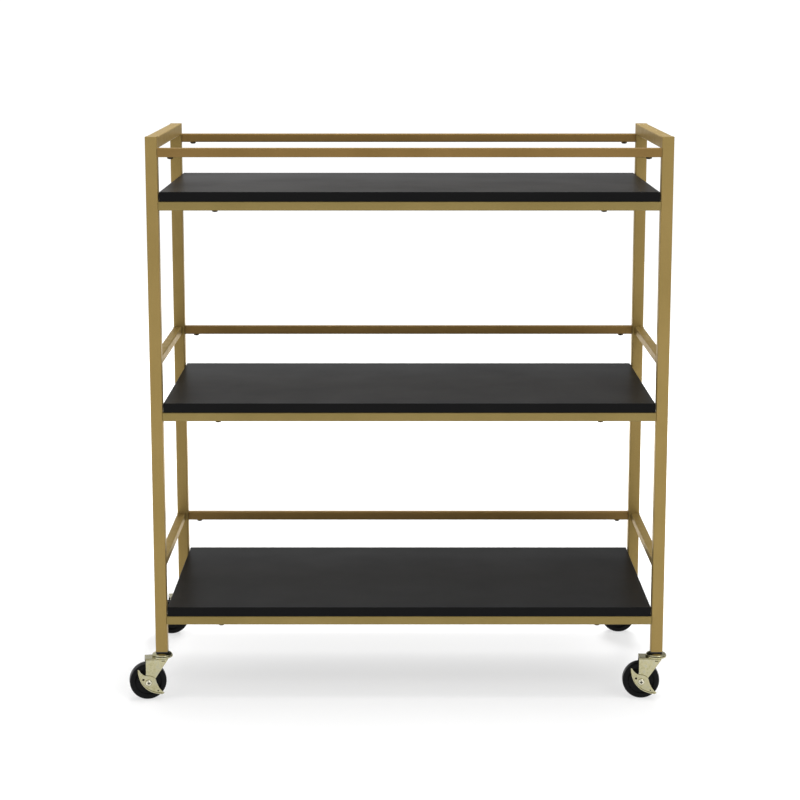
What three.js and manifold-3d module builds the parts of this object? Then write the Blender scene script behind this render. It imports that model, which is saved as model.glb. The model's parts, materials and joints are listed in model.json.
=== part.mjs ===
// Three-shelf bar cart on swivel casters, in millimetres, +Z up, +X to the right and the front at -Y.
//
// Two welded end frames stand on four threaded-stem casters. Long tubes slide over stubs on the posts
// and are held by screws from below. Three boards lie on the front and rear shelf rails.
import * as THREE from "three";
import { mergeVertices } from "three/addons/utils/BufferGeometryUtils.js";
import Module from "manifold-3d";

const wasm = await Module();
wasm.setup();

// ---------------------------------------------------------------- driving dimensions

const WIDTH = 824; // over the posts
const DEPTH = 368;
const CASTER_HEIGHT = 79; // floor to the foot of a post
const POST_LENGTH = 834;

const POST = 19; // square tube of the end frames
const RAIL = 14.25; // square tube of every rail
const WALL = 1.25;
const CORNER = 2; // outside corner radius of both tubes
const CORNER_STEPS = 2;
const CAP = 1.5; // plate that closes the top of a post

const BOARD = 15; // board thickness
const BOARD_GAP = 1.5; // from each end of a board to the posts
const FIRST_SHELF = 46; // foot of a post to the underside of the lowest shelf rails
const SHELF_PITCH = 336.5;
const GUARD_CLEAR = 54; // top of a board to the guard rail above it

const STUB_LENGTH = 32;
const FIT = 0.3; // gap round pieces that slide into each other
const SCREW_INSET = 19.5; // guard screw to the face of the post

const WHEEL_RADIUS = 30; // floor to the axle
const WHEEL_WIDTH = 20;
const WHEEL_FACETS = 28;
const TRAIL = 24; // axle behind the swivel axis
const AXLE_RADIUS = 3;
const FORK_GAP = 23; // between the legs of a fork
const SHEET = 2; // sheet steel of the fork
const LEVER_SHEET = 1.5;
const LIP = { thickness: 1.2, depth: 4 }; // folded edge of a brake lever
const ROUND = 20; // facets of a turned piece

// ---------------------------------------------------------------- levels and places that follow

const FOOT = CASTER_HEIGHT;
const TOP = FOOT + POST_LENGTH;
const SPAN = WIDTH - 2 * POST; // between the left and right posts
const SIDE_SPAN = DEPTH - 2 * POST; // between the front and rear posts
const POST_X = (WIDTH - POST) / 2;
const POST_Y = (DEPTH - POST) / 2;
const RAIL_Y = (DEPTH - RAIL) / 2; // rails are flush with the outer faces of the posts
const SIDE_X = (WIDTH - RAIL) / 2;
const STUB = RAIL - 2 * WALL - 2 * FIT;

const SIDES = { left: -1, right: 1 };
const ENDS = { front: -1, rear: 1 };
const LEVELS = ["low", "mid", "top"];

const shelfRailZ = (level) => FOOT + FIRST_SHELF + level * SHELF_PITCH + RAIL / 2;
const boardZ = (level) => shelfRailZ(level) + RAIL / 2 + BOARD / 2;
const guardZ = (level) => boardZ(level) + BOARD / 2 + GUARD_CLEAR + RAIL / 2;
const hasGuard = (end, level) => end === "rear" || level === LEVELS.length - 1;

// Each caster trails to the left, a few degrees off the X axis.
const YAW = { front_left: 11, front_right: -3, rear_left: 14, rear_right: -12 };

// ---------------------------------------------------------------- materials

const metal = (color, roughness) => new THREE.MeshStandardMaterial({ color, roughness, metalness: 0.9 });
const plain = (color, roughness) => new THREE.MeshStandardMaterial({ color, roughness, metalness: 0 });

const GOLD = metal(0xa38a58, 0.42);
const BLACK_BOARD = plain(0x262626, 0.5);
const PLATED = metal(0xd9d2ab, 0.3);
const SCREW_STEEL = metal(0x7d6d45, 0.35);
const BLACK_WHEEL = plain(0x1c1b1e, 0.45);
const BLACK_PLASTIC = plain(0x202020, 0.6);

// ---------------------------------------------------------------- solids

function toSolid(geometry) {
  const bare = geometry.index ? geometry.toNonIndexed() : geometry.clone();
  bare.deleteAttribute("normal");
  bare.deleteAttribute("uv");
  const merged = mergeVertices(bare, 1e-4);
  const vertProperties = new Float32Array(merged.attributes.position.array);
  const triVerts = new Uint32Array(merged.index.array);
  return new wasm.Manifold(new wasm.Mesh({ numProp: 3, vertProperties, triVerts }));
}

function toGeometry(solid) {
  const mesh = solid.getMesh();
  const geometry = new THREE.BufferGeometry();
  geometry.setAttribute("position", new THREE.BufferAttribute(mesh.vertProperties, mesh.numProp));
  geometry.setIndex(new THREE.BufferAttribute(mesh.triVerts, 1));
  geometry.computeVertexNormals();
  return geometry;
}

const join = (geometries) => geometries.map(toSolid).reduce((a, b) => a.add(b));
const cut = (solid, geometries) => geometries.map(toSolid).reduce((a, b) => a.subtract(b), solid);

function mesh(name, geometry, material) {
  const made = new THREE.Mesh(geometry, material);
  made.name = name;
  return made;
}

const box = (sx, sy, sz, x, y, z) => new THREE.BoxGeometry(sx, sy, sz).translate(x, y, z);

// A cylinder along Y or Z, given by its middle.
function rod(radius, length, axis, x, y, z, facets = ROUND) {
  const geometry = new THREE.CylinderGeometry(radius, radius, length, facets);
  if (axis === "z") geometry.rotateX(Math.PI / 2);
  return geometry.translate(x, y, z);
}

// A turned piece about Z, from its outline of [radius, height] pairs that starts and ends on the axis.
function turned(outline, facets = ROUND) {
  const points = outline.map(([radius, height]) => new THREE.Vector2(radius, height));
  return new THREE.LatheGeometry(points, facets).rotateX(Math.PI / 2);
}

function roundedSquare(size, radius) {
  const half = size / 2 - radius;
  const shape = new THREE.Shape();
  const corners = [[half, -half], [half, half], [-half, half], [-half, -half]];
  corners.forEach(([x, y], i) => {
    const start = ((i - 1) * Math.PI) / 2;
    shape.absarc(x, y, radius, start, start + Math.PI / 2, false);
  });
  return shape;
}

// A straight bar of square section along Z, from z = 0.
function bar(size, radius, length) {
  const options = { depth: length, bevelEnabled: false, curveSegments: CORNER_STEPS };
  return new THREE.ExtrudeGeometry(roundedSquare(size, radius), options);
}

// An open square tube along X or Y, centred on the origin.
function tube(size, length, axis) {
  const section = roundedSquare(size, CORNER);
  section.holes.push(roundedSquare(size - 2 * WALL, CORNER - WALL));
  const options = { depth: length, bevelEnabled: false, curveSegments: CORNER_STEPS };
  const geometry = new THREE.ExtrudeGeometry(section, options).translate(0, 0, -length / 2);
  return axis === "x" ? geometry.rotateY(Math.PI / 2) : geometry.rotateX(Math.PI / 2);
}

// ---------------------------------------------------------------- screws that hold the guard rails

const SCREW = { radius: 2.5, length: 11, head: 4.75, headHeight: 3.5, dome: 1.25 };
const SCREW_HOLE = SCREW.radius + FIT;
const SCREW_FACETS = 12;

// A pan-head screw whose head seats at z = 0 with its shank going up.
function screwGeometry() {
  const { radius, length, head, headHeight, dome } = SCREW;
  return turned([
    [0, -headHeight],
    [head - dome, -headHeight],
    [head, -headHeight + dome],
    [head, 0],
    [radius, 0],
    [radius, length],
    [0, length],
  ], SCREW_FACETS);
}

const screwHole = (x, y, z) => rod(SCREW_HOLE, SCREW.length + 1, "z", x, y, z + SCREW.length / 2, SCREW_FACETS);

// ---------------------------------------------------------------- end frames

function post(side, end) {
  const sx = SIDES[side];
  const sy = ENDS[end];
  const bore = bar(POST - 2 * WALL, CORNER - WALL, POST_LENGTH - CAP + 1).translate(0, 0, -1);
  const shell = cut(toSolid(bar(POST, CORNER, POST_LENGTH)), [bore]);

  // Stubs point towards the other end frame. They sit in the shelf rails and in the guard rails.
  const stubX = -sx * (POST / 2 + STUB_LENGTH / 2 - WALL / 2);
  const stubY = sy * (RAIL_Y - POST_Y);
  const levels = LEVELS.flatMap((name, level) => (
    hasGuard(end, level) ? [shelfRailZ(level), guardZ(level)] : [shelfRailZ(level)]
  ));
  const stubs = levels.map((z) => box(STUB_LENGTH + WALL, STUB, STUB, stubX, stubY, z - FOOT));
  const guards = LEVELS.map((name, level) => level).filter((level) => hasGuard(end, level));
  const holes = guards.map((level) => (
    screwHole(-sx * (POST / 2 + SCREW_INSET), stubY, guardZ(level) - RAIL / 2 - FOOT)
  ));
  const solid = cut(stubs.map(toSolid).reduce((a, b) => a.add(b), shell), holes);

  const made = mesh(`post_${end}_${side}`, toGeometry(solid), GOLD);
  made.position.set(sx * POST_X, sy * POST_Y, FOOT);
  return made;
}

function endFrame(side) {
  const sx = SIDES[side];
  const group = new THREE.Group();
  for (const end in ENDS) group.add(post(side, end));

  const topBar = mesh(`top_bar_${side}`, tube(POST, SIDE_SPAN, "y"), GOLD);
  topBar.position.set(sx * POST_X, 0, TOP - POST / 2);
  group.add(topBar);

  for (const level of [0, 1]) {
    const guard = mesh(`side_guard_${LEVELS[level]}_${side}`, tube(RAIL, SIDE_SPAN, "y"), GOLD);
    guard.position.set(sx * SIDE_X, 0, guardZ(level));
    group.add(guard);
  }
  return group;
}

// ---------------------------------------------------------------- long rails and boards

function shelfRail(end, level) {
  const made = mesh(`shelf_rail_${end}_${LEVELS[level]}`, tube(RAIL, SPAN, "x"), GOLD);
  made.position.set(0, ENDS[end] * RAIL_Y, shelfRailZ(level));
  return made;
}

function guardRail(end, level) {
  const group = new THREE.Group();
  group.position.set(0, ENDS[end] * RAIL_Y, guardZ(level));
  const screwX = SPAN / 2 - SCREW_INSET;
  const holes = [-screwX, screwX].map((x) => screwHole(x, 0, -RAIL / 2));
  const solid = cut(toSolid(tube(RAIL, SPAN, "x")), holes);
  group.add(mesh(`guard_rail_${end}_${LEVELS[level]}`, toGeometry(solid), GOLD));
  for (const side in SIDES) {
    const screw = mesh(`guard_screw_${end}_${LEVELS[level]}_${side}`, screwGeometry(), SCREW_STEEL);
    screw.position.set(SIDES[side] * screwX, 0, -RAIL / 2);
    group.add(screw);
  }
  return group;
}

function board(level) {
  const made = mesh(`board_${LEVELS[level]}`, box(SPAN - 2 * BOARD_GAP, DEPTH, BOARD, 0, 0, 0), BLACK_BOARD);
  made.position.set(0, 0, boardZ(level));
  return made;
}

// ---------------------------------------------------------------- casters

const FLANGE = 2; // rim of the insert under the post
const INSERT_LENGTH = 30;
const STEM_RADIUS = 4;
const STEM_LENGTH = 26;
const RACE_TOP = FOOT - FLANGE - 0.25;
const RACE_RADIUS = 16.5;
const DISH_RADIUS = 17;
const DISH_RIM = 71.5; // top of the rim of the fork's dish
const PLATE_TOP = 69.5;
const PLATE_BOTTOM = PLATE_TOP - SHEET;
const KINGPIN_RADIUS = 5;
const BOSS_RADIUS = 6; // round end of a fork leg about the axle
const FORK_TAIL = -28; // trailing edge of the fork
const BEND = 3.25; // outside radius of the bends between the plate and the legs
const AXLE = { x: -TRAIL, z: WHEEL_RADIUS };
const LEG_OUT = FORK_GAP / 2 + SHEET; // outer face of a leg

// Threaded insert driven into the foot of a post.
function insertGeometry() {
  const plug = bar(POST - 2 * WALL - 2 * FIT, 0.5, INSERT_LENGTH);
  const rim = bar(POST, CORNER, FLANGE).translate(0, 0, -FLANGE);
  const hole = rod(STEM_RADIUS + FIT, 3 * INSERT_LENGTH, "z", 0, 0, 0);
  return toGeometry(cut(join([plug, rim]), [hole]));
}

// Stem, upper bearing cup and kingpin, which stay still in the post.
function stemGeometry() {
  const headTop = PLATE_BOTTOM - FIT;
  const cupBottom = DISH_RIM + FIT;
  return turned([
    [0, headTop - 2.5],
    [5.5, headTop - 2.5],
    [7, headTop - 1],
    [7, headTop],
    [KINGPIN_RADIUS, headTop],
    [KINGPIN_RADIUS, cupBottom],
    [RACE_RADIUS - 1, cupBottom],
    [RACE_RADIUS, cupBottom + 1],
    [RACE_RADIUS - 1.5, cupBottom + 2.5],
    [9.5, RACE_TOP],
    [STEM_RADIUS, RACE_TOP],
    [STEM_RADIUS, RACE_TOP + STEM_LENGTH],
    [0, RACE_TOP + STEM_LENGTH],
  ]);
}

// A shape drawn in X and Z and made thick along Y, with its front face at y.
function sheetPlate(shape, thickness, y, curveSegments = 8) {
  const options = { depth: thickness, bevelEnabled: false, curveSegments };
  return new THREE.ExtrudeGeometry(shape, options).rotateX(Math.PI / 2).translate(0, y + thickness, 0);
}

// Side outline of the fork in X and Z: an upright trailing edge, a slanting leading edge and a round end.
function forkOutline() {
  const lead = { x: 8, z: 67 };
  const slant = Math.atan2(lead.z - AXLE.z, lead.x - AXLE.x) - Math.asin(
    BOSS_RADIUS / Math.hypot(lead.x - AXLE.x, lead.z - AXLE.z),
  );
  const shape = new THREE.Shape();
  shape.moveTo(FORK_TAIL, PLATE_TOP + SHEET);
  shape.lineTo(FORK_TAIL, 46);
  shape.absarc(AXLE.x, AXLE.z, BOSS_RADIUS, Math.PI, 2 * Math.PI + slant - Math.PI / 2, false);
  shape.lineTo(lead.x, lead.z);
  shape.lineTo(lead.x, PLATE_TOP + SHEET);
  shape.closePath();
  return shape;
}

// The folded sheet of the fork, an upside-down U across Y, with round bends between plate and legs.
function forkChannel() {
  const shape = new THREE.Shape();
  shape.moveTo(LEG_OUT, 0);
  shape.lineTo(LEG_OUT, PLATE_TOP - BEND);
  shape.absarc(LEG_OUT - BEND, PLATE_TOP - BEND, BEND, 0, Math.PI / 2, false);
  shape.lineTo(BEND - LEG_OUT, PLATE_TOP);
  shape.absarc(BEND - LEG_OUT, PLATE_TOP - BEND, BEND, Math.PI / 2, Math.PI, false);
  shape.lineTo(-LEG_OUT, 0);
  shape.lineTo(SHEET - LEG_OUT, 0);
  shape.lineTo(SHEET - LEG_OUT, PLATE_TOP - BEND);
  shape.absarc(BEND - LEG_OUT, PLATE_TOP - BEND, BEND - SHEET, Math.PI, Math.PI / 2, true);
  shape.lineTo(LEG_OUT - BEND, PLATE_BOTTOM);
  shape.absarc(LEG_OUT - BEND, PLATE_TOP - BEND, BEND - SHEET, Math.PI / 2, 0, true);
  shape.lineTo(LEG_OUT - SHEET, 0);
  shape.closePath();
  const options = { depth: 100, bevelEnabled: false, curveSegments: 5 };
  const swept = new THREE.ExtrudeGeometry(shape, options).translate(0, 0, -50);
  return swept.rotateX(Math.PI / 2).rotateZ(Math.PI / 2);
}

// Pressed fork: the folded sheet, and the round dish that holds the lower ball race.
function forkGeometry() {
  const dish = turned([
    [0, PLATE_BOTTOM],
    [DISH_RADIUS - 3, PLATE_BOTTOM],
    [DISH_RADIUS, PLATE_TOP],
    [DISH_RADIUS, DISH_RIM],
    [DISH_RADIUS - 2, DISH_RIM],
    [DISH_RADIUS - 3, PLATE_TOP],
    [0, PLATE_TOP],
  ], 28);
  const outline = sheetPlate(forkOutline(), 4 * LEG_OUT, -2 * LEG_OUT);
  const sheet = toSolid(forkChannel()).intersect(toSolid(outline));
  const axleHole = rod(AXLE_RADIUS + FIT, 4 * LEG_OUT, "y", AXLE.x, 0, AXLE.z, 16);
  const kingpinHole = rod(KINGPIN_RADIUS + FIT, 4 * SHEET, "z", 0, 0, PLATE_TOP);
  const slot = box(5.5, 4 * LEG_OUT, 1.5, 0.5, 0, PLATE_BOTTOM - 2.75);
  return toGeometry(cut(sheet.add(toSolid(dish)), [axleHole, kingpinHole, slot]));
}

// Solid wheel about Y, centred on its hub. It stands on one of its facets.
function wheelGeometry() {
  const half = WHEEL_WIDTH / 2;
  const tread = WHEEL_RADIUS / Math.cos(Math.PI / WHEEL_FACETS);
  const side = [
    [AXLE_RADIUS + 0.4, half + 0.5],
    [8, half + 0.5],
    [9, half - 2],
    [20.5, half - 2],
    [22, half - 0.25],
    [tread - 2.5, half],
    [tread - 0.75, half - 1.25],
    [tread, half - 3.5],
  ];
  const near = side.map(([radius, y]) => new THREE.Vector2(radius, -y));
  const far = side.map(([radius, y]) => new THREE.Vector2(radius, y)).reverse();
  const outline = [...near, ...far, near[0].clone()];
  return new THREE.LatheGeometry(outline, WHEEL_FACETS, Math.PI / WHEEL_FACETS);
}

// Bolt through the fork and the wheel, with a round head at the front and its thread past the rear leg.
function axleGeometry(headY) {
  const tip = LEG_OUT + 5.5;
  const outline = [
    [0, headY - 3.25],
    [3, headY - 3.25],
    [4.5, headY - 2],
    [4.5, headY],
    [AXLE_RADIUS, headY],
    [AXLE_RADIUS, tip],
    [0, tip],
  ].map(([radius, y]) => new THREE.Vector2(radius, y));
  return new THREE.LatheGeometry(outline, 16);
}

function axleNutGeometry() {
  const height = 4;
  const nut = new THREE.CylinderGeometry(5.6, 5.6, height, 6);
  const hole = rod(AXLE_RADIUS + FIT, 2 * height, "y", 0, 0, 0, 16);
  return toGeometry(cut(toSolid(nut), [hole])).translate(0, LEG_OUT + FIT + height / 2, 0);
}

// Brake lever about the axle: a crescent plate with a release prong above and a foot prong below. Its
// lower edge is folded out into a lip.
function brakeGeometry(y) {
  const edge = new THREE.CubicBezierCurve(
    new THREE.Vector2(-17.5, 22),
    new THREE.Vector2(-16, 4),
    new THREE.Vector2(-9, -17.5),
    new THREE.Vector2(24, -20),
  );
  const shape = new THREE.Shape(edge.getPoints(12));
  shape.lineTo(25, -18);
  shape.quadraticCurveTo(15, -11, 11.5, 5.5);
  shape.quadraticCurveTo(6.5, 11.5, -1.5, 11.5);
  shape.quadraticCurveTo(-10, 12.5, -15.5, 22.5);
  shape.closePath();
  const plate = sheetPlate(shape, LEVER_SHEET, y, 6);

  const steps = [...Array(13).keys()].map((i) => 0.04 + (0.94 * i) / 12);
  const outer = steps.map((t) => edge.getPoint(t));
  const inner = steps.map((t) => {
    const { x, y: z } = edge.getTangent(t);
    return edge.getPoint(t).add(new THREE.Vector2(-z, x).multiplyScalar(LIP.thickness));
  });
  const lip = sheetPlate(new THREE.Shape([...outer, ...inner.reverse()]), LIP.depth, y + LEVER_SHEET - LIP.depth);

  const hole = rod(AXLE_RADIUS + FIT, 4 * LEVER_SHEET, "y", 0, y, 0, 16);
  const eye = rod(1.2, 4 * LEVER_SHEET, "y", 15, y, -14, 8);
  return toGeometry(cut(join([plate, lip]), [hole, eye]));
}

function caster(end, side) {
  const place = `${end}_${side}`;
  const braked = end === "front";
  const group = new THREE.Group();
  group.position.set(SIDES[side] * POST_X, ENDS[end] * POST_Y, 0);

  const insert = mesh(`insert_${place}`, insertGeometry(), BLACK_PLASTIC);
  insert.position.z = FOOT;
  group.add(insert, mesh(`caster_stem_${place}`, stemGeometry(), PLATED));

  const swivel = new THREE.Group();
  swivel.rotation.z = THREE.MathUtils.degToRad(YAW[place]);
  group.add(swivel);
  swivel.add(mesh(`fork_${place}`, forkGeometry(), PLATED));

  const hub = new THREE.Group();
  hub.position.set(AXLE.x, 0, AXLE.z);
  swivel.add(hub);
  const leverY = -LEG_OUT - FIT - LEVER_SHEET;
  const headY = (braked ? leverY : -LEG_OUT) - FIT;
  hub.add(mesh(`wheel_${place}`, wheelGeometry(), BLACK_WHEEL));
  hub.add(mesh(`axle_${place}`, axleGeometry(headY), PLATED));
  hub.add(mesh(`axle_nut_${place}`, axleNutGeometry(), PLATED));
  if (braked) hub.add(mesh(`brake_lever_${place}`, brakeGeometry(leverY), PLATED));
  return group;
}

// ---------------------------------------------------------------- assembly

const cart = new THREE.Group();

for (const side in SIDES) cart.add(endFrame(side));

LEVELS.forEach((name, level) => {
  cart.add(board(level));
  for (const end in ENDS) {
    cart.add(shelfRail(end, level));
    if (hasGuard(end, level)) cart.add(guardRail(end, level));
  }
});

for (const end in ENDS) {
  for (const side in SIDES) cart.add(caster(end, side));
}

// The origin is on the floor under the middle of the whole cart, which the trailing casters shift a
// little to the left of the frame's middle. It is rounded to half a millimetre.
const bounds = new THREE.Box3().setFromObject(cart, true);
const middle = bounds.getCenter(new THREE.Vector3());
const toHalf = (value) => Math.round(value * 2) / 2;
cart.position.set(-toHalf(middle.x), -toHalf(middle.y), 0);

export default cart;
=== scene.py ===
"""The looks of the bar cart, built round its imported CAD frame.

Places and lengths are in metres, and in millimetres where a docstring or comment says so.
"""

import json
import math

import bmesh
import bpy
from mathutils import Matrix, Vector


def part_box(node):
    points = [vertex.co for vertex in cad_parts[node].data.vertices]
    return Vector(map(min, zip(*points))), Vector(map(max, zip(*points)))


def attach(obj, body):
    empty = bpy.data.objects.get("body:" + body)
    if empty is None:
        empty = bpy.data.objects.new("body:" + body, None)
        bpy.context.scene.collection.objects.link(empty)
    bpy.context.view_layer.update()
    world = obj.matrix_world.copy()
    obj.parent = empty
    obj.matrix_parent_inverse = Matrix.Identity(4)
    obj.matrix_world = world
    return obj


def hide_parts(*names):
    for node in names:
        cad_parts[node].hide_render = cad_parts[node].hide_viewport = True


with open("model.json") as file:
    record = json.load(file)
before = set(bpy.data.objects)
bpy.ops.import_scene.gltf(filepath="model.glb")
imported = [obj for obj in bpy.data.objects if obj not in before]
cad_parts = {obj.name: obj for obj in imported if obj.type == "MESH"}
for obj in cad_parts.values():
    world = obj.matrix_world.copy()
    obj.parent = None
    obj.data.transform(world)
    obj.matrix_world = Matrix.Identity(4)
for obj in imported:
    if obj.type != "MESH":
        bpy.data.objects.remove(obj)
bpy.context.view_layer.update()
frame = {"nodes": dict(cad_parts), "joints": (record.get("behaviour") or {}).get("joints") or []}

MM = 0.001

# ---------------------------------------------------------------- the frame's own names and places

ENDS = ("front", "rear")
SIDES = ("left", "right")
LEVELS = ("low", "mid", "top")
CORNERS = [f"{end}_{side}" for end in ENDS for side in SIDES]
BRAKED = [corner for corner in CORNERS if f"brake_lever_{corner}" in frame["nodes"]]
JOINTS = {joint["name"]: joint for joint in frame["joints"]}
ROOT = "frame"


def named(*starts):
    """The names of the CAD nodes that start in one of these ways."""
    return [name for name in frame["nodes"] if name.startswith(starts)]


def middle(node):
    low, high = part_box(node)
    return (low + high) / 2


# ---------------------------------------------------------------- node materials

COLOUR_MIX_INPUTS = (0, 6, 7)  # the factor and the two colours of a Mix node that mixes colours
COLOUR_MIX_OUTPUT = 2


class Nodes:
    """A Principled material with helpers that add and link its nodes."""

    def __init__(self, name, **values):
        self.material = bpy.data.materials.new(name)
        self.material.use_nodes = True
        self.tree = self.material.node_tree
        self.shader = self.tree.nodes["Principled BSDF"]
        for socket, value in values.items():
            self.shader.inputs[socket.replace("_", " ")].default_value = value
        self.place = self.add("ShaderNodeTexCoord").outputs["Object"]

    def add(self, kind, **settings):
        node = self.tree.nodes.new(kind)
        for key, value in settings.items():
            setattr(node, key, value)
        return node

    def link(self, source, target):
        self.tree.links.new(source, target)

    def stretched(self, scale):
        mapping = self.add("ShaderNodeMapping")
        mapping.inputs["Scale"].default_value = scale
        self.link(self.place, mapping.inputs["Vector"])
        return mapping.outputs["Vector"]

    def noise(self, scale, detail=3.0, roughness=0.55, stretch=None):
        """Noise over the object, with features of about 1 / scale metres."""
        node = self.add("ShaderNodeTexNoise")
        node.inputs["Scale"].default_value = scale
        node.inputs["Detail"].default_value = detail
        node.inputs["Roughness"].default_value = roughness
        self.link(self.stretched(stretch) if stretch else self.place, node.inputs["Vector"])
        return node.outputs["Fac"]

    def ramp(self, source, stops):
        """Colours or greys along source, from (position, value) pairs."""
        node = self.add("ShaderNodeValToRGB")
        elements = node.color_ramp.elements
        while len(elements) < len(stops):
            elements.new(0.5)
        for element, (position, value) in zip(elements, stops):
            element.position = position
            element.color = (*value, 1) if isinstance(value, tuple) else (value, value, value, 1)
        self.link(source, node.inputs["Fac"])
        return node.outputs["Color"]

    def blend(self, source, low, high, start=0.3, end=0.7):
        """From low to high, colours or greys, as source goes from start to end."""
        return self.ramp(source, [(start, low), (end, high)])

    def mixed(self, factor, a, b, mode="MIX"):
        """Two colours mixed by factor. Each of the three is a node's output or a fixed value."""
        node = self.add("ShaderNodeMix", data_type="RGBA", blend_type=mode)
        for index, value in zip(COLOUR_MIX_INPUTS, (factor, a, b)):
            socket = node.inputs[index]
            if hasattr(value, "links"):
                self.link(value, socket)
            elif isinstance(value, tuple):
                socket.default_value = (*value, 1)
            else:
                socket.default_value = value
        return node.outputs[COLOUR_MIX_OUTPUT]

    def bump(self, height, depth, strength):
        """Bumps that follow height, depth millimetres deep at full strength."""
        node = self.add("ShaderNodeBump")
        node.inputs["Distance"].default_value = depth * MM
        node.inputs["Strength"].default_value = strength
        self.link(height, node.inputs["Height"])
        return node.outputs["Normal"]

    def finish(self, colour, roughness, normal=None):
        for name, source in (("Base Color", colour), ("Roughness", roughness), ("Normal", normal)):
            if source:
                self.link(source, self.shader.inputs[name])
        return self.material


def gold_paint(name, dark, light):
    """Satin antique-gold metallic paint: fine flake, orange peel and slow changes between two tones."""
    m = Nodes(name, Metallic=0.45, Specular_IOR_Level=0.2, Specular_Tint=(0.8, 0.62, 0.3, 1))
    tone = m.blend(m.noise(9, 2), dark, light)
    flake = m.blend(m.noise(2600, 1), 0.88, 1.06, start=0.42, end=0.62)
    colour = m.mixed(1.0, tone, flake, "MULTIPLY")
    roughness = m.blend(m.noise(60, 4), 0.30, 0.40)
    peel = m.bump(m.noise(700, 2), 0.05, 0.25)
    return m.finish(colour, roughness, peel)


def board_lacquer():
    """Satin black lacquer over fibreboard: orange peel, faint rubbing marks and a little dust."""
    m = Nodes("board_lacquer", Specular_IOR_Level=0.05)
    dust = m.blend(m.noise(1800, 2, 0.7), 0.0, 0.05, start=0.62, end=0.76)
    tone = m.blend(m.noise(5), (0.0052, 0.0052, 0.0053), (0.0066, 0.0066, 0.0068))
    colour = m.mixed(dust, tone, (0.09, 0.09, 0.09))
    roughness = m.blend(m.noise(6, 5, 0.6), 0.34, 0.40)
    peel = m.bump(m.noise(420, 2), 0.08, 0.25)
    return m.finish(colour, roughness, peel)


def yellow_zinc():
    """Pale yellow zinc plate on pressed steel, with cloudy tints and fine rolling marks."""
    m = Nodes("yellow_zinc", Metallic=1.0)
    tints = [(0.3, (0.40, 0.37, 0.21)), (0.5, (0.48, 0.45, 0.28)), (0.7, (0.43, 0.42, 0.31))]
    cloud = m.ramp(m.noise(160, 4, 0.6), tints)
    roughness = m.blend(m.noise(420, 4), 0.14, 0.26)
    grain = m.bump(m.noise(900, 3, 0.6, (1, 1, 0.15)), 0.04, 0.3)
    return m.finish(cloud, roughness, grain)


def screw_metal():
    """Dark bronzed screws that go with the gold frame."""
    m = Nodes("screw_metal", Metallic=1.0)
    tint = m.blend(m.noise(500), (0.030, 0.024, 0.016), (0.060, 0.047, 0.030))
    roughness = m.blend(m.noise(900), 0.25, 0.42)
    return m.finish(tint, roughness, m.bump(m.noise(1500, 2), 0.03, 0.3))


def recess_oil_and_painted_shade():
    """The dull dark inside of a driver recess: painted shade for the depth of the recess, with a little
    oil.
    """
    m = Nodes("recess_oil_and_painted_shade", Metallic=0.4)
    tone = m.blend(m.noise(1500), (0.010, 0.009, 0.007), (0.022, 0.020, 0.016))
    roughness = m.blend(m.noise(1900, 2), 0.6, 0.75)
    return m.finish(tone, roughness, m.bump(m.noise(2500, 2), 0.03, 0.3))


def bolt_zinc():
    """Brighter, smoother zinc on the turned heads of the axle bolts."""
    m = Nodes("bolt_zinc", Metallic=1.0)
    tint = m.blend(m.noise(300), (0.62, 0.59, 0.44), (0.74, 0.72, 0.58))
    roughness = m.blend(m.noise(700), 0.10, 0.18)
    return m.finish(tint, roughness, m.bump(m.noise(1800, 2), 0.02, 0.25))


def wheel_plastic():
    """Moulded black wheel with a fine sparked texture and slight scuffs."""
    m = Nodes("wheel_plastic", Specular_IOR_Level=0.12)
    scuff = m.blend(m.noise(55, 6, 0.7), (0.0018, 0.0018, 0.0020), (0.005, 0.005, 0.005), 0.45, 0.75)
    roughness = m.blend(m.noise(120, 4), 0.32, 0.48)
    return m.finish(scuff, roughness, m.bump(m.noise(1600, 2), 0.06, 0.35))


def insert_plastic():
    """Black moulded glide that closes the foot of a post round the caster's stem."""
    m = Nodes("insert_plastic")
    tone = m.blend(m.noise(200, 4), (0.006, 0.006, 0.006), (0.014, 0.014, 0.014))
    roughness = m.blend(m.noise(600), 0.5, 0.66)
    return m.finish(tone, roughness, m.bump(m.noise(2200, 2), 0.05, 0.4))


POST_GOLD = gold_paint("gold_posts", (0.288, 0.203, 0.069), (0.320, 0.226, 0.080))
RAIL_GOLD = gold_paint("gold_shelf_rails", (0.238, 0.178, 0.062), (0.268, 0.200, 0.073))
GUARD_GOLD = gold_paint("gold_long_guards", (0.214, 0.133, 0.044), (0.244, 0.152, 0.053))
LACQUER = board_lacquer()
ZINC = yellow_zinc()
BOLT = bolt_zinc()
SCREW = screw_metal()
# the dark lining of the screw and bolt recesses: painted shade for their depth, with a little oil
RECESS = recess_oil_and_painted_shade()
WHEEL = wheel_plastic()
INSERT = insert_plastic()


# ---------------------------------------------------------------- carried-over CAD nodes

TUBE_EDGE = 0.35 * MM  # how far the rounded edges of tube and pressed sheet reach
BOARD_EDGE = 0.9 * MM
INSERT_EDGE = 0.4 * MM
NUT_EDGE = 0.5 * MM
SQUARE = 50  # degrees: an edge of a square piece that turns by more than this is rounded
PRESSED = 32  # the same for pressed and turned metal
SAME_POINT = 0.002 * MM  # corners closer than this become one

FINISHES = (  # starts of node names, material, edge, the turn that makes an edge a rounded one
    (("post", "top_bar", "side_guard"), POST_GOLD, TUBE_EDGE, SQUARE),
    (("shelf_rail",), RAIL_GOLD, TUBE_EDGE, SQUARE),
    (("guard_rail",), GUARD_GOLD, TUBE_EDGE, SQUARE),
    (("board",), LACQUER, BOARD_EDGE, SQUARE),
    (("insert",), INSERT, INSERT_EDGE, SQUARE),
    (("fork", "brake_lever"), ZINC, TUBE_EDGE, PRESSED),
    (("axle_nut",), ZINC, NUT_EDGE, PRESSED),
)


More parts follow.
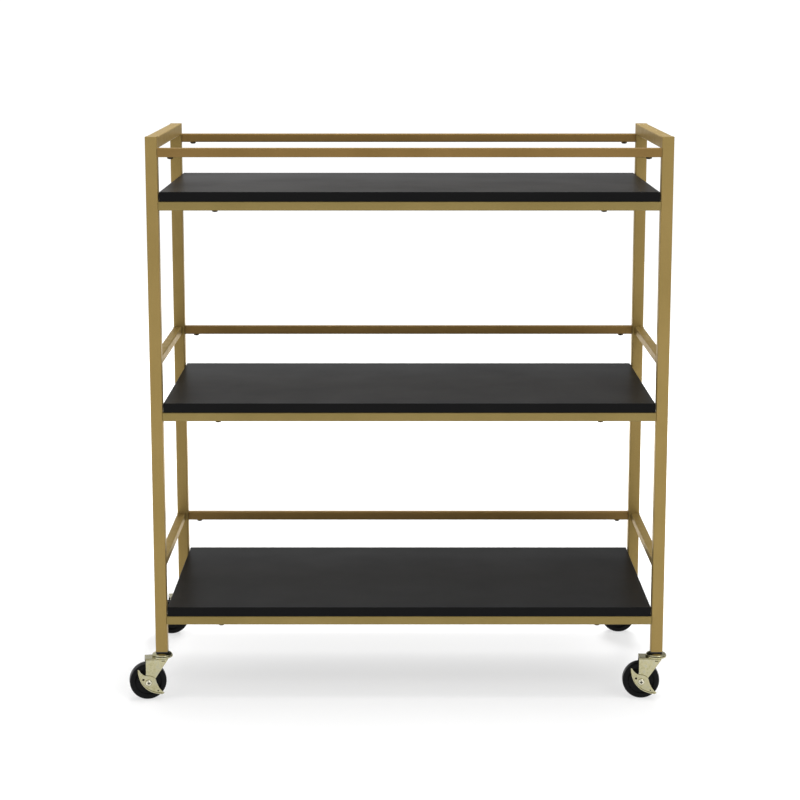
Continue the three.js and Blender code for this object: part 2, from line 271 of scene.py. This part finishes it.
def finish_node(name, material, edge, least_turn):
    """Gives a CAD node its material and small rounded edges, and shades its curves smooth."""
    node = frame["nodes"][name]
    node.data.materials.clear()
    node.data.materials.append(material)
    weld = node.modifiers.new("weld", "WELD")
    weld.merge_threshold = SAME_POINT
    rounded = node.modifiers.new("rounded edges", "BEVEL")
    rounded.limit_method = "ANGLE"
    rounded.angle_limit = math.radians(least_turn)
    rounded.width = edge
    rounded.segments = 3
    rounded.use_clamp_overlap = True
    node.data.shade_smooth()
    weighted = node.modifiers.new("flat faces stay flat", "WEIGHTED_NORMAL")
    weighted.mode = "FACE_AREA"
    weighted.weight = 100


def finish_nodes():
    for starts, material, edge, least_turn in FINISHES:
        for name in named(*starts):
            finish_node(name, material, edge, least_turn)


# ---------------------------------------------------------------- making new pieces

SMOOTH_UNDER = 35  # degrees: an edge that turns by less than this is shaded smooth
ROUNDED_SPAN = 2.2  # a rounded corner takes at most one part in this of each line beside it
DOWN = Matrix.Rotation(math.pi, 4, "X")  # turns a piece's head to face the floor
ABOUT_Y = Matrix.Rotation(-math.pi / 2, 4, "X")  # turns a piece made about Z so that it is about Y


def new_piece(name, mesh, place, material, body):
    """Puts a mesh in the scene on a body of the frame. A mesh that has materials keeps them."""
    piece = bpy.data.objects.new(name, mesh)
    bpy.context.scene.collection.objects.link(piece)
    piece.matrix_world = place
    if not mesh.materials:
        mesh.materials.append(material)
    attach(piece, body)
    return piece


def as_mesh(made, name):
    """The mesh of a closed form, with its faces turned outwards."""
    bmesh.ops.recalc_face_normals(made, faces=made.faces)
    mesh = bpy.data.meshes.new(name)
    made.to_mesh(mesh)
    made.free()
    return mesh


def shade(mesh, smooth_under=SMOOTH_UNDER):
    """Shades a mesh smooth, apart from edges that turn by smooth_under degrees or more."""
    mesh.shade_smooth()
    mesh.set_sharp_from_angle(angle=math.radians(smooth_under))
    return mesh


def turned(name, outline, segments, smooth_under=SMOOTH_UNDER):
    """A closed mesh turned about Z from (radius, height) pairs in millimetres.

    The outline starts and ends on the axis, or stays off it and closes on itself."""
    made = bmesh.new()
    rings = []
    for radius, height in outline:
        if radius == 0:
            rings.append([made.verts.new((0, 0, height * MM))])
            continue
        ring = []
        for i in range(segments):
            angle = 2 * math.pi * i / segments
            spot = (radius * MM * math.cos(angle), radius * MM * math.sin(angle), height * MM)
            ring.append(made.verts.new(spot))
        rings.append(ring)
    off_axis = outline[0][0] > 0
    following = rings[1:] + rings[:1] if off_axis else rings[1:]
    for a, b in zip(rings, following):
        for i in range(segments):
            j = (i + 1) % segments
            corners = [a[i % len(a)], a[j % len(a)], b[j % len(b)], b[i % len(b)]]
            face = list(dict.fromkeys(corners))
            if len(face) > 2:
                made.faces.new(face)
    return shade(as_mesh(made, name), smooth_under)


def rounded_outline(points, reach, steps=4):
    """The outline with each corner that is given as (radius, height, True) rounded.

    The rounding starts reach millimetres before the corner, or nearer where a line is short."""
    made = []
    for i, point in enumerate(points):
        if len(point) < 3:
            made.append(point)
            continue
        here = Vector(point[:2])
        before = Vector(points[i - 1][:2])
        after = Vector(points[(i + 1) % len(points)][:2])
        shortest = min((before - here).length, (after - here).length)
        cut = min(reach, shortest / ROUNDED_SPAN)
        start = here + (before - here).normalized() * cut
        end = here + (after - here).normalized() * cut
        for step in range(steps + 1):
            t = step / steps
            spot = start * (1 - t) ** 2 + here * 2 * t * (1 - t) + end * t ** 2
            made.append((spot.x, spot.y))
    return made


def carved(mesh, cutter_mesh, place):
    """A copy of mesh with cutter_mesh taken out of it, and the cutter's material inside the cut."""
    body = bpy.data.objects.new("body", mesh)
    cutter = bpy.data.objects.new("cutter", cutter_mesh)
    for each in (body, cutter):
        bpy.context.scene.collection.objects.link(each)
    cutter.matrix_world = place
    cut = body.modifiers.new("cut", "BOOLEAN")
    cut.operation = "DIFFERENCE"
    cut.solver = "EXACT"
    cut.material_mode = "TRANSFER"
    cut.object = cutter
    bpy.context.view_layer.update()
    depsgraph = bpy.context.evaluated_depsgraph_get()
    made = bpy.data.meshes.new_from_object(body.evaluated_get(depsgraph))
    for each in (body, cutter):
        bpy.data.objects.remove(each)
    return shade(made)


# ---------------------------------------------------------------- screws

CUTTER_ABOVE = 1.0  # millimetres: how far a recess cutter stands out of the head
MOUTH_SCALE = 1.15  # the cutter's taper: its scale above the head and at the bottom
BOTTOM_SCALE = 0.55
DOME_POINTS = 8  # between the brim and the top of a round head
PAN_BRIM = 0.45  # the straight part of a pan head's side, as a part of the head's height
RECESS_WIDTH = 0.26  # the recess of a pan head, as parts of the head's radius and height
RECESS_REACH = 1.15
RECESS_DEPTH = 0.55
GUARD_SCREW_HEIGHT = 3.5  # millimetres, of the head
GUARD_SCREW_TWIST = math.radians(17)  # how far the recesses turn for each metre along the cart
BOARD_SCREW_TWIST = 3  # radians: the same for the board screws
BOARD_SCREW_MIDDLE_TWIST = 0.4  # radians: how far their recesses are turned at x = 0
BOARD_SCREW_INSET = 88 * MM  # from the inner face of a post


def cross_cutter(width, reach, depth):
    """A tapered cross, in millimetres, that cuts a recess from z = 0 to depth below it."""
    made = bmesh.new()
    w, r = width / 2, reach / 2
    arm = [(w, w), (w, r), (-w, r)]
    outline = []
    for _ in range(4):
        outline += arm
        arm = [(-y, x) for x, y in arm]
    layers = []
    for height, scale in ((CUTTER_ABOVE, MOUTH_SCALE), (-depth, BOTTOM_SCALE)):
        layer = [(x * scale * MM, y * scale * MM, height * MM) for x, y in outline]
        layers.append([made.verts.new(spot) for spot in layer])
    upper, lower = layers
    made.faces.new(upper)
    made.faces.new(list(reversed(lower)))
    for i in range(len(outline)):
        j = (i + 1) % len(outline)
        made.faces.new([upper[i], lower[i], lower[j], upper[j]])
    mesh = as_mesh(made, "cross")
    # the cut faces take this dark material: painted shade inside the recess, with a little oil
    mesh.materials.append(RECESS)
    return mesh


def dome(radius, brim, top, turn):
    """Points of a round head that go up from its brim towards its top, turn degrees apart."""
    angles = [math.radians(turn * i) for i in range(1, DOME_POINTS + 1)]
    return [(radius * math.cos(a), brim + (top - brim) * math.sin(a)) for a in angles]


def pan_head(name, radius, height, shank_radius, shank_length):
    """A pan-head screw with a cross recess, head up from z = 0 and shank down, in millimetres."""
    chamfer = 0.5
    brim = height * PAN_BRIM
    outline = [
        (0, -shank_length), (shank_radius - chamfer, -shank_length),
        (shank_radius, chamfer - shank_length), (shank_radius, 0),
        (radius, 0), (radius, brim), *dome(radius, brim, height, turn=10), (0, height),
    ]
    cutter = cross_cutter(RECESS_WIDTH * radius, RECESS_REACH * radius, RECESS_DEPTH * height)
    blank = turned(name, outline, segments=40)
    blank.materials.append(SCREW)
    return carved(blank, cutter, Matrix.Translation((0, 0, height * MM)))


def driven_up(seat, twist):
    """The place of a screw that is driven up from below, with its recess turned by twist."""
    return Matrix.Translation(seat) @ DOWN @ Matrix.Rotation(twist, 4, "Z")


def guard_screws():
    """The screws that hold the long guard rails, in the places of their CAD nodes."""
    mesh = pan_head(
        "guard_screw", radius=4.75, height=GUARD_SCREW_HEIGHT, shank_radius=2.5, shank_length=11,
    )
    for name in named("guard_screw"):
        seat = middle(name)
        seat.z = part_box(name)[0].z + GUARD_SCREW_HEIGHT * MM
        place = driven_up(seat, GUARD_SCREW_TWIST * seat.x)
        screw = new_piece(name + "_head", mesh.copy(), place, SCREW, ROOT)
        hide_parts(name)


def board_screws():
    """Low-headed screws that hold the boards, up through the front and rear shelf rails."""
    mesh = pan_head("board_screw", radius=4.5, height=2.8, shank_radius=2, shank_length=6)
    for end in ENDS:
        for level in LEVELS:
            low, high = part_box(f"shelf_rail_{end}_{level}")
            for side, x in (("left", low.x + BOARD_SCREW_INSET), ("right", high.x - BOARD_SCREW_INSET)):
                seat = Vector((x, (low.y + high.y) / 2, low.z))
                place = driven_up(seat, BOARD_SCREW_MIDDLE_TWIST + BOARD_SCREW_TWIST * x)
                new_piece(f"board_screw_{end}_{level}_{side}", mesh.copy(), place, SCREW, ROOT)


# ---------------------------------------------------------------- welds

BEAD = 0.9 * MM  # how far a bead of weld reaches from the joint
BEAD_RIPPLE = 0.12  # how much that reach comes and goes, as a part of it
RIPPLE_TURN = 2.1  # radians of the ripple's wave for each step along the bead
BEAD_STEP = 1.2 * MM
BEAD_ROOT = 0.3 * MM  # how deep the bead reaches into the tube
BEAD_BELLY = 0.42  # how far the fillet's middle stands out, as a part of the bead's reach
TUBE_CORNER = 2 * MM


def tube_outline(width, height):
    """Points round a square tube with round corners, about BEAD_STEP apart, with outward directions."""
    path = []
    for sx, sz, start in ((1, 1, 0), (-1, 1, 90), (-1, -1, 180), (1, -1, 270)):
        for turn in (0, 30, 60, 90):
            angle = math.radians(start + turn)
            x = sx * (width / 2 - TUBE_CORNER) + TUBE_CORNER * math.cos(angle)
            z = sz * (height / 2 - TUBE_CORNER) + TUBE_CORNER * math.sin(angle)
            path.append((Vector((x, 0, z)), Vector((math.cos(angle), 0, math.sin(angle)))))
    dense = []
    for (p, n), (q, o) in zip(path, path[1:] + path[:1]):
        count = max(1, round((q - p).length / BEAD_STEP))
        dense += [(p.lerp(q, i / count), n.lerp(o, i / count).normalized()) for i in range(count)]
    return dense


def weld_bead(name, centre, width, height, normal):
    """A small fillet of weld round a square tube of width by height where its end meets a post.

    centre is on the post's face and normal points along the tube, away from the post."""
    made = bmesh.new()
    rings = []
    for i, (spot, out) in enumerate(tube_outline(width, height)):
        r = BEAD * (1 + BEAD_RIPPLE * math.sin(RIPPLE_TURN * i))
        ring = [
            spot - out * BEAD_ROOT,
            spot + out * r,
            spot + out * r * BEAD_BELLY + normal * r * BEAD_BELLY,
            spot + normal * r - out * BEAD_ROOT,
        ]
        rings.append([made.verts.new(centre + v) for v in ring])
    for a, b in zip(rings, rings[1:] + rings[:1]):
        for i in range(4):
            j = (i + 1) % 4
            made.faces.new([a[i], a[j], b[j], b[i]])
    mesh = as_mesh(made, name)
    mesh.shade_smooth()
    new_piece(name, mesh, Matrix.Identity(4), POST_GOLD, ROOT)


def welds():
    """A bead at each end of each side guard."""
    for bar in named("side_guard"):
        low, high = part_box(bar)
        for end, y, normal in (("front", low.y, Vector((0, 1, 0))), ("rear", high.y, Vector((0, -1, 0)))):
            centre = Vector(((low.x + high.x) / 2, y, (low.z + high.z) / 2))
            weld_bead(f"weld_{bar}_{end}", centre, high.x - low.x, high.z - low.z, normal)


# ---------------------------------------------------------------- casters

# These sizes and the outlines made from them are in millimetres.
WHEEL_RADIUS = JOINTS["roll_front_left"]["pos_m"][2] / MM  # an axle's height over the floor
WHEEL_HALF = 10.0  # half of a wheel's width at the rim
DISH_HALF = 8.0  # the same at the dish between hub and rim
HUB_HALF = 10.5
HUB_BORE = 3.4
HUB_RADIUS = 7.6
BUSHING_HALF = 11.0
BUSHING_BORE = 3.35
BUSHING_RADIUS = 5.0

STEM_RADIUS = 4
STEM_LENGTH = 26  # from the top of the bearing cup
CUP_HEIGHT = 4.95  # of the bearing cup
CUP_RADIUS = 16.5
KINGPIN_RADIUS = 5
KINGPIN_FOOT_RADIUS = 7
KINGPIN_FOOT_HEIGHT = 2.5
NUT_RADIUS = 6.2  # of the kingpin's nut, to its corners
NUT_HEIGHT = 4.2

BOLT_RADIUS = 3
BOLT_HEAD_RADIUS = 5.2
BOLT_HEAD_HEIGHT = 3.25
BOLT_BRIM = 0.9  # the straight part of a bolt head's side
LEVER_GAP = 0.3  # between a bolt's head and the brake lever
PEG_RADIUS = 1.9
RECESS_SINK = 0.05  # how far below the top of a bolt's head its recess is measured from
PEG_PLACE = Matrix.Translation(Vector((-8.5, 0, 5.5)) * MM)  # from the axle, on the lever's plate


def axle_place(corner):
    """The frame of a caster's axle: X towards the swivel axis, Y away from the brake, Z up."""
    joint = JOINTS[f"roll_{corner}"]
    along = Vector(joint["axis"]).normalized()
    up = Vector((0, 0, 1))
    turn = Matrix((along.cross(up), along, up)).transposed().to_4x4()
    return Matrix.Translation(Vector(joint["pos_m"])) @ turn


def axle_extent(corner):
    """Where a CAD axle starts and ends along its own axis, in millimetres from the wheel's middle."""
    inverse = axle_place(corner).inverted()
    along = [(inverse @ v.co).y / MM for v in frame["nodes"][f"axle_{corner}"].data.vertices]
    return min(along), max(along)


def wheel_mesh():
    """A dished wheel with a hub, a rim and a slightly crowned tread."""
    side = [
        (HUB_BORE, HUB_HALF, True), (HUB_RADIUS, HUB_HALF, True),  # the hub
        (HUB_RADIUS + 1.2, DISH_HALF, True), (WHEEL_RADIUS - 9.8, DISH_HALF, True),  # the dish
        (WHEEL_RADIUS - 8.2, WHEEL_HALF - 0.3, True), (WHEEL_RADIUS - 2.7, WHEEL_HALF, True),  # the rim
        (WHEEL_RADIUS - 0.4, WHEEL_HALF - 1.7, True), (WHEEL_RADIUS, WHEEL_HALF / 2, True),  # its shoulder
        (WHEEL_RADIUS + 0.08, 0.45),  # the crown of the tread
    ]
    far_side = [(radius, -height, *rest) for radius, height, *rest in reversed(side)]
    return turned("wheel", rounded_outline(side + far_side, reach=1.1), segments=112, smooth_under=40)


def bushing_mesh():
    """The plated tube that a wheel turns on."""
    outline = [
        (BUSHING_BORE, BUSHING_HALF), (BUSHING_RADIUS, BUSHING_HALF, True),
        (BUSHING_RADIUS, -BUSHING_HALF, True), (BUSHING_BORE, -BUSHING_HALF),
    ]
    return turned("bushing", rounded_outline(outline, reach=0.4), segments=40)


def wheels():
    """Round wheels in the places of the faceted ones, each with its bushing."""
    mesh = wheel_mesh()
    bushing = bushing_mesh()
    for corner in CORNERS:
        place = axle_place(corner) @ ABOUT_Y
        wheel = new_piece(f"wheel_{corner}_moulded", mesh.copy(), place, WHEEL, f"wheel_{corner}")
        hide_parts(f"wheel_{corner}")
        new_piece(f"wheel_{corner}_bushing", bushing.copy(), place, ZINC, f"wheel_{corner}")


def stems():
    """The still half of each caster: threaded stem, upper bearing cup, kingpin and its nut."""
    for corner in CORNERS:
        name = f"caster_stem_{corner}"
        low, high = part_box(name)
        base, top = low.z / MM, high.z / MM
        foot_top = base + KINGPIN_FOOT_HEIGHT
        race_top = top - STEM_LENGTH
        cup_base = race_top - CUP_HEIGHT
        outline = rounded_outline([
            (0, base), (KINGPIN_FOOT_RADIUS - 1.8, base, True),  # the kingpin's foot
            (KINGPIN_FOOT_RADIUS, base + 1.2, True), (KINGPIN_FOOT_RADIUS, foot_top),
            (KINGPIN_RADIUS, foot_top), (KINGPIN_RADIUS, cup_base),
            (CUP_RADIUS - 1.3, cup_base, True), (CUP_RADIUS, race_top - 3.9, True),  # the cup
            (CUP_RADIUS - 1.1, race_top - 2.4, True), (CUP_RADIUS - 5.5, race_top - 0.6, True),
            (CUP_RADIUS - 7.9, race_top, True), (STEM_RADIUS, race_top),
            (STEM_RADIUS, top - 0.6), (STEM_RADIUS - 0.6, top), (0, top),  # the stem
        ], reach=1.0)
        centre = middle(name)
        place = Matrix.Translation((centre.x, centre.y, 0))
        mesh = turned(name, outline, segments=72, smooth_under=40)
        stem = new_piece(name + "_turned", mesh, place, ZINC, ROOT)
        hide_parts(name)

        nut_base = base - NUT_HEIGHT
        nut_outline = [
            (0, nut_base), (NUT_RADIUS - 0.6, nut_base), (NUT_RADIUS, nut_base + 0.5),
            (NUT_RADIUS, base), (0, base),
        ]
        nut = turned(name + "_nut", nut_outline, segments=6)
        new_piece(name + "_kingpin_nut", nut, place, SCREW, ROOT)


def axles():
    """Axle bolts with a domed head and a cross recess at one end, and a plain shank."""
    for corner in CORNERS:
        low, high = axle_extent(corner)
        seat = low + BOLT_HEAD_HEIGHT
        brim = seat - BOLT_BRIM
        outline = [
            (0, low), *reversed(dome(BOLT_HEAD_RADIUS, brim, low, turn=9)),
            (BOLT_HEAD_RADIUS, brim), (BOLT_HEAD_RADIUS, seat), (BOLT_RADIUS, seat),
            (BOLT_RADIUS, high - 0.6), (BOLT_RADIUS - 0.5, high), (0, high),
        ]
        blank = turned(f"axle_{corner}", outline, segments=48)
        blank.materials.append(BOLT)
        mouth = Matrix.Translation((0, 0, (low + RECESS_SINK) * MM)) @ DOWN
        mesh = carved(blank, cross_cutter(width=1.5, reach=5.8, depth=1.9), mouth)
        place = axle_place(corner) @ ABOUT_Y
        bolt = new_piece(f"axle_{corner}_bolt", mesh, place, BOLT, f"swivel_{corner}")
        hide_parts(f"axle_{corner}")


def brake_pegs():
    """The dark riveted end of the spring's peg in each brake lever."""
    for corner in BRAKED:
        face = axle_extent(corner)[0] + BOLT_HEAD_HEIGHT + LEVER_GAP
        outline = rounded_outline([
            (0, face + 1.0), (PEG_RADIUS, face + 1.0), (PEG_RADIUS, face - 0.35, True),
            (PEG_RADIUS - 0.7, face - 0.8, True), (0, face - 0.9),
        ], reach=0.4)
        mesh = turned(f"brake_peg_{corner}", outline, segments=32)
        place = axle_place(corner) @ PEG_PLACE @ ABOUT_Y
        new_piece(f"brake_lever_{corner}_peg", mesh, place, SCREW, f"brake_{corner}")


# ---------------------------------------------------------------- stage, light and camera

FLOOR_HALF = 5.5  # half of the floor's width
FLOOR_DROP = 0.0002  # keeps the floor just clear of the wheels
GLOW_START, GLOW_END = 0.9, 3.0  # how far from the cart the floor's glow starts and stops changing
GLOW_NEAR, GLOW_FAR = 0.635, 1.02

SKY_FRONT = 0.8  # the strength of the sky as a light
SKY_BACK_LEFT = 0.45
SKY_BACK_RIGHT = 0.28
SHINE_BACK_LEFT = 0.74  # the same sky as reflections see it
SHINE_BACK_RIGHT = 0.36
BACKDROP = 1.1  # and as the camera sees it
FRONT_TO_BACK = 0.6  # how far the sky's changes reach each way, as parts of a direction of length 1
LEFT_TO_RIGHT = 0.3

CAMERA_PLACE = Vector((3.6, -3327.5, 1116)) * MM
CAMERA_PITCH = 10.01  # degrees below the horizon
LENS = 90.7  # millimetres
SENSOR_WIDTH = 36  # millimetres
SHIFT_Y = -0.05


def floor_paint():
    """A pale studio floor, lit from within a little near the cart and more towards the far edge."""
    m = Nodes("floor_paint", Specular_IOR_Level=0.05, Emission_Color=(1, 1, 1, 1))
    tone = m.blend(m.noise(1.5, 2), (0.33, 0.33, 0.33), (0.35, 0.35, 0.35))
    roughness = m.blend(m.noise(3, 2), 0.85, 0.9)
    distance = m.add("ShaderNodeVectorMath", operation="LENGTH")
    m.link(m.place, distance.inputs[0])
    glow = m.add("ShaderNodeMapRange", interpolation_type="SMOOTHSTEP")
    values = {"From Min": GLOW_START, "From Max": GLOW_END, "To Min": GLOW_NEAR, "To Max": GLOW_FAR}
    for socket, value in values.items():
        glow.inputs[socket].default_value = value
    m.link(distance.outputs["Value"], glow.inputs["Value"])
    m.link(glow.outputs["Result"], m.shader.inputs["Emission Strength"])
    return m.finish(tone, roughness)


def floor():
    made = bmesh.new()
    bmesh.ops.create_grid(made, x_segments=8, y_segments=8, size=FLOOR_HALF)
    mesh = bpy.data.meshes.new("floor")
    made.to_mesh(mesh)
    made.free()
    plane = bpy.data.objects.new("floor", mesh)
    plane.location.z = -FLOOR_DROP
    bpy.context.scene.collection.objects.link(plane)
    mesh.materials.append(floor_paint())


def softbox(name, place, target, width, height, power, glossy=True):
    """A rectangular light that points at target, with its power in watts."""
    data = bpy.data.lights.new(name, "AREA")
    data.shape = "RECTANGLE"
    data.size = width
    data.size_y = height
    data.energy = power
    light = bpy.data.objects.new(name, data)
    light.location = place
    light.rotation_euler = (Vector(target) - Vector(place)).to_track_quat("-Z", "Y").to_euler()
    light.visible_camera = False
    light.visible_glossy = glossy
    bpy.context.scene.collection.objects.link(light)


def sky():
    """A soft sky, dimmer behind the cart, less so as reflections see it, and white to the camera."""
    world = bpy.data.worlds.new("studio")
    bpy.context.scene.world = world
    world.use_nodes = True
    nodes, links = world.node_tree.nodes, world.node_tree.links
    background = nodes["Background"]
    background.inputs["Color"].default_value = (1, 1, 1, 1)
    direction = nodes.new("ShaderNodeSeparateXYZ")
    links.new(nodes.new("ShaderNodeTexCoord").outputs["Generated"], direction.inputs["Vector"])
    rays = nodes.new("ShaderNodeLightPath").outputs

    def give(socket, value):
        """Sets a socket to a number, or links a node's output to it."""
        if isinstance(value, float):
            socket.default_value = value
        else:
            links.new(value, socket)

    def graded(axis, reach, low, high):
        """A smooth step from low to high along an axis of the sky."""
        step = nodes.new("ShaderNodeMapRange")
        step.interpolation_type = "SMOOTHSTEP"
        for socket, value in (("From Min", -reach), ("From Max", reach), ("To Min", low), ("To Max", high)):
            give(step.inputs[socket], value)
        links.new(direction.outputs[axis], step.inputs["Value"])
        return step.outputs["Result"]

    def unless(ray, usual, instead):
        """The usual strength, but another one for that kind of ray."""
        choice = nodes.new("ShaderNodeMix")
        links.new(rays[ray], choice.inputs["Factor"])
        give(choice.inputs["A"], usual)
        give(choice.inputs["B"], instead)
        return choice.outputs["Result"]

    light_behind = graded("X", LEFT_TO_RIGHT, SKY_BACK_LEFT, SKY_BACK_RIGHT)
    shine_behind = graded("X", LEFT_TO_RIGHT, SHINE_BACK_LEFT, SHINE_BACK_RIGHT)
    light = graded("Y", FRONT_TO_BACK, SKY_FRONT, light_behind)
    shine = graded("Y", FRONT_TO_BACK, SKY_FRONT, shine_behind)
    strength = unless("Is Camera Ray", unless("Is Glossy Ray", light, shine), BACKDROP)
    links.new(strength, background.inputs["Strength"])


def studio():
    """The sky, four soft lights, and colours shown as they are."""
    sky()
    softbox("key", (1.9, -2.2, 2.7), (0, 0, 0.5), 1.8, 1.4, 24)
    softbox("fill", (-2.6, -1.6, 1.6), (0, 0, 0.5), 1.6, 1.6, 4)
    softbox("top", (0.1, 0.15, 3.1), (0, 0, 0), 1.9, 1.1, 100, glossy=False)
    softbox("under", (0.45, 2.6, 1.9), (0, 0, 0.05), 1.4, 1.0, 115, glossy=False)
    settings = bpy.context.scene.view_settings
    settings.view_transform = "Standard"
    settings.look = "None"
    settings.exposure = 0


def camera():
    data = bpy.data.cameras.new("camera")
    data.lens = LENS
    data.sensor_width = SENSOR_WIDTH
    data.shift_y = SHIFT_Y
    made = bpy.data.objects.new("camera", data)
    made.location = CAMERA_PLACE
    made.rotation_euler = (math.radians(90 - CAMERA_PITCH), 0, 0)
    bpy.context.scene.collection.objects.link(made)
    bpy.context.scene.camera = made


camera()
floor()
studio()
finish_nodes()
guard_screws()
board_screws()
welds()
wheels()
stems()
axles()
brake_pegs()
